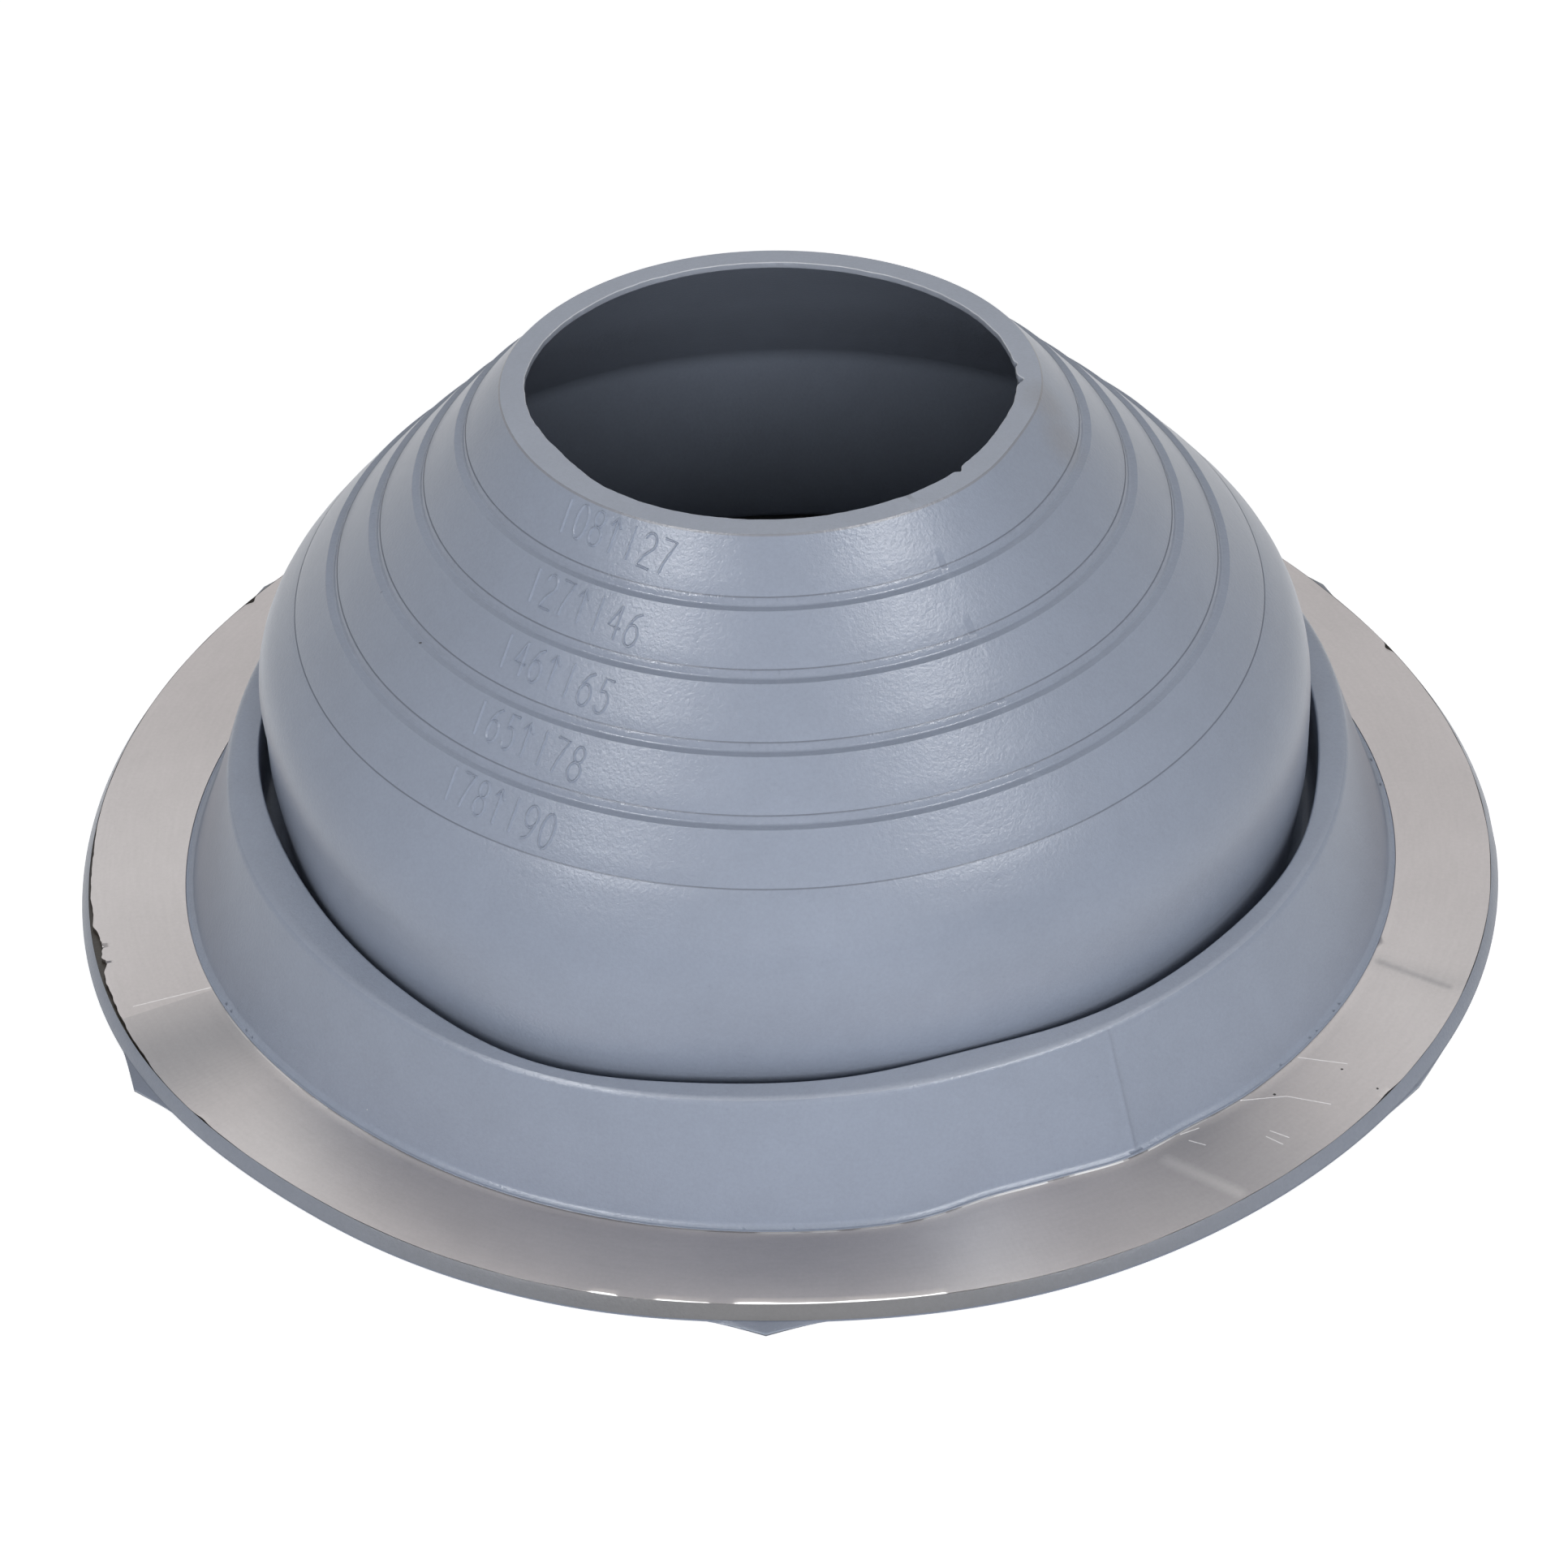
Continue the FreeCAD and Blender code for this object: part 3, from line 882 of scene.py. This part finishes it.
def metalColour(tree, look, stroke, fine, lines, scratched):
    # painted shade and painted highlight on the ring's face
    colour = blendColours(tree, mark(tree, "paintedShade"), look["face"], look["shadeTone"])
    colour = blendColours(tree, mark(tree, "paintedHighlight"), colour, look["highlightAndStreak"])
    # painted shade along the crease
    creaseShade = strokes(tree, stroke, look["creaseShades"], *look["creaseBrush"])
    colour = paint(tree, colour, creaseShade, look["creaseShare"], look["shadeTone"])
    colour = toned(tree, colour, ((fine.outputs["Patches"], look["patchSpread"]),
                                  (fine.outputs["Grain"], look["grainSpread"]), (lines, look["lineSpread"])))
    colour = paint(tree, colour, scratched, look["scratchShare"], look["edge"])
    streaked = strokes(tree, stroke, look["streaks"], *look["streakBrush"])
    colour = paint(tree, colour, streaked, look["streakShare"], look["highlightAndStreak"])
    spots = strokes(tree, stroke, look["blackSpots"], *look["spotBrush"])
    colour = paint(tree, colour, spots, look["spotShare"], look["spot"])
    # painted glint on the cut edges
    return blendColours(tree, mark(tree, "cutEdgeGlint"), colour, look["edge"])


def metalMaterial(mottle, stroke, rolled):
    look = metalLook
    material, tree = newMaterial("soft aluminium")
    shader = tree.nodes["Principled BSDF"]
    shader.inputs["Metallic"].default_value = 1.0
    fine = placeGroup(tree, mottle, **look["fine"])
    lines = placeGroup(tree, rolled, **look["rolled"]).outputs[0]
    scratched = strokes(tree, stroke, look["scratches"], *look["scratchBrush"])
    tree.links.new(metalColour(tree, look, stroke, fine, lines, scratched), shader.inputs["Base Color"])
    least = look["roughness"] - look["roughSpread"] / 2
    roughness = maths(tree, "MULTIPLY_ADD", fine.outputs["Patches"], look["roughSpread"], least)
    roughness = maths(tree, "MULTIPLY_ADD", scratched, look["scratchRoughness"], roughness)
    roughness = maths(tree, "MULTIPLY_ADD", mark(tree, "cutEdgeGlint"), look["edgeRoughness"], roughness)
    tree.links.new(roughness, shader.inputs["Roughness"])
    height = maths(tree, "MULTIPLY_ADD", lines, look["lineBump"], fine.outputs["Grain"])
    height = maths(tree, "SUBTRACT", height, maths(tree, "MULTIPLY", scratched, look["scratchDepth"]))
    bump = addNode(tree, "ShaderNodeBump", {"Strength": look["bumpStrength"], "Distance": look["bumpDepth"],
                                            "Height": height})
    tree.links.new(bump.outputs[0], shader.inputs["Normal"])
    return material


# room: pale floor, soft boxes, white surroundings; lengths in metres
room = {
    "floorSize": 6.0, "floorColour": (0.86, 0.86, 0.865, 1.0), "floorRoughness": 0.9,
    # the floor under the boot is painted dark as shade
    "floorLift": 0.63, "liftGrows": (0.5, 1.6), "shadeRadius": 0.112, "shadeColour": (0.20, 0.20, 0.205, 1.0),
    "white": (1.0, 1.0, 1.0, 1.0), "fill": 0.21, "lightsAimAt": (0.0, 0.0, 0.05),
}
softBoxes = {
    "left": {"azimuth": -44, "elevation": 50, "distance": 1.3, "size": (0.20, 0.40), "power": 6.4,
             "glossy": True},
    "right": {"azimuth": 52, "elevation": 50, "distance": 1.3, "size": (0.30, 0.40), "power": 7.4,
              "glossy": True},
    "front": {"azimuth": 6, "elevation": 26, "distance": 1.5, "size": (1.2, 0.6), "power": 15.6,
              "glossy": False},
    "top": {"azimuth": 0, "elevation": 86, "distance": 1.3, "size": (0.6, 0.6), "power": 3.4,
            "glossy": False},
}


def directionFrom(azimuth, elevation):
    a, e = math.radians(azimuth), math.radians(elevation)
    return Vector((math.sin(a) * math.cos(e), -math.cos(a) * math.cos(e), math.sin(e)))


def seenDirectly(tree):
    path = addNode(tree, "ShaderNodeLightPath")
    seen = maths(tree, "ADD", path.outputs["Is Camera Ray"], path.outputs["Is Glossy Ray"])
    return maths(tree, "ADD", seen, path.outputs["Is Transmission Ray"], clamp=True)


def paleFloor():
    half = room["floorSize"] / 2
    mesh = bpy.data.meshes.new("floor")
    corners = [(-half, -half, 0), (half, -half, 0), (half, half, 0), (-half, half, 0)]
    mesh.from_pydata(corners, [], [(0, 1, 2, 3)])
    floor = bpy.data.objects.new("floor", mesh)
    bpy.context.collection.objects.link(floor)
    material, tree = newMaterial("pale floor")
    shader = tree.nodes["Principled BSDF"]
    # the patch closed in by the boot is painted dark as shade, so nothing shines up inside it
    place = addNode(tree, "ShaderNodeTexCoord").outputs["Object"]
    reach = vectorMaths(tree, "LENGTH", {0: place}, "Value")
    outside = maths(tree, "GREATER_THAN", reach, room["shadeRadius"])
    colour = blendColours(tree, outside, room["shadeColour"], room["floorColour"])
    tree.links.new(colour, shader.inputs["Base Color"])
    shader.inputs["Roughness"].default_value = room["floorRoughness"]
    shader.inputs["Specular IOR Level"].default_value = 0.0
    shader.inputs["Emission Color"].default_value = room["white"]
    # what is seen of the floor is lifted to white, all of it further out, and keeps the boot's shadow
    lift = stretch(tree, reach, *room["liftGrows"], room["floorLift"], 1.0)
    lift = maths(tree, "MULTIPLY", seenDirectly(tree), maths(tree, "MULTIPLY", outside, lift))
    tree.links.new(lift, shader.inputs["Emission Strength"])
    mesh.materials.append(material)


def whiteWorld():
    world = bpy.data.worlds.new("studio")
    bpy.context.scene.world = world
    world.use_nodes = True
    tree = world.node_tree
    background = tree.nodes["Background"]
    background.inputs["Color"].default_value = room["white"]
    strength = maths(tree, "MULTIPLY_ADD", seenDirectly(tree), 1.0 - room["fill"], room["fill"])
    tree.links.new(strength, background.inputs["Strength"])


def studioLights():
    aim = Vector(room["lightsAimAt"])
    for name, box in softBoxes.items():
        lamp = bpy.data.lights.new("soft box " + name, "AREA")
        lamp.shape = "RECTANGLE"
        lamp.size, lamp.size_y = box["size"]
        lamp.energy = box["power"]
        holder = bpy.data.objects.new("soft box " + name, lamp)
        direction = directionFrom(box["azimuth"], box["elevation"])
        holder.location = aim + direction * box["distance"]
        holder.rotation_euler = direction.to_track_quat("Z", "Y").to_euler()
        # the two strips only make the sheen, the broad boxes only the even light
        holder.visible_glossy = box["glossy"]
        holder.visible_diffuse = not box["glossy"]
        bpy.context.collection.objects.link(holder)


viewpoint = {"azimuth": 2.65, "elevation": 38.84, "roll": -1.9, "distance": 713.6,
             "target": (-0.4, 0.0, 8.06), "lens": 82.0, "nearest": 10.0}


def placeCamera():
    data = bpy.data.cameras.new("camera")
    data.lens = viewpoint["lens"]
    data.clip_start = viewpoint["nearest"] * mm
    camera = bpy.data.objects.new("camera", data)
    direction = directionFrom(viewpoint["azimuth"], viewpoint["elevation"])
    camera.location = Vector(viewpoint["target"]) * mm + direction * viewpoint["distance"] * mm
    camera.rotation_mode = "QUATERNION"
    roll = Quaternion(direction, math.radians(viewpoint["roll"]))
    camera.rotation_quaternion = roll @ direction.to_track_quat("Z", "Y")
    bpy.context.collection.objects.link(camera)
    bpy.context.scene.camera = camera


def buildScene():
    bootPiece = rubberBoot()
    ringPiece = aluminiumRing()
    numberPiece = raisedNumbers()
    mottle, stroke = mottleGroup(), strokeGroup()
    rubber = rubberMaterial(mottle, speckGroup(), stroke)
    bootPiece.data.materials.append(rubber)
    numberPiece.data.materials.append(rubber)
    ringPiece.data.materials.append(metalMaterial(mottle, stroke, brushedGroup()))
    print("materials done")
    paleFloor()
    whiteWorld()
    studioLights()
    placeCamera()
    print("floor, lights and camera done")
    bpy.context.scene.view_settings.view_transform = "Standard"


buildScene()
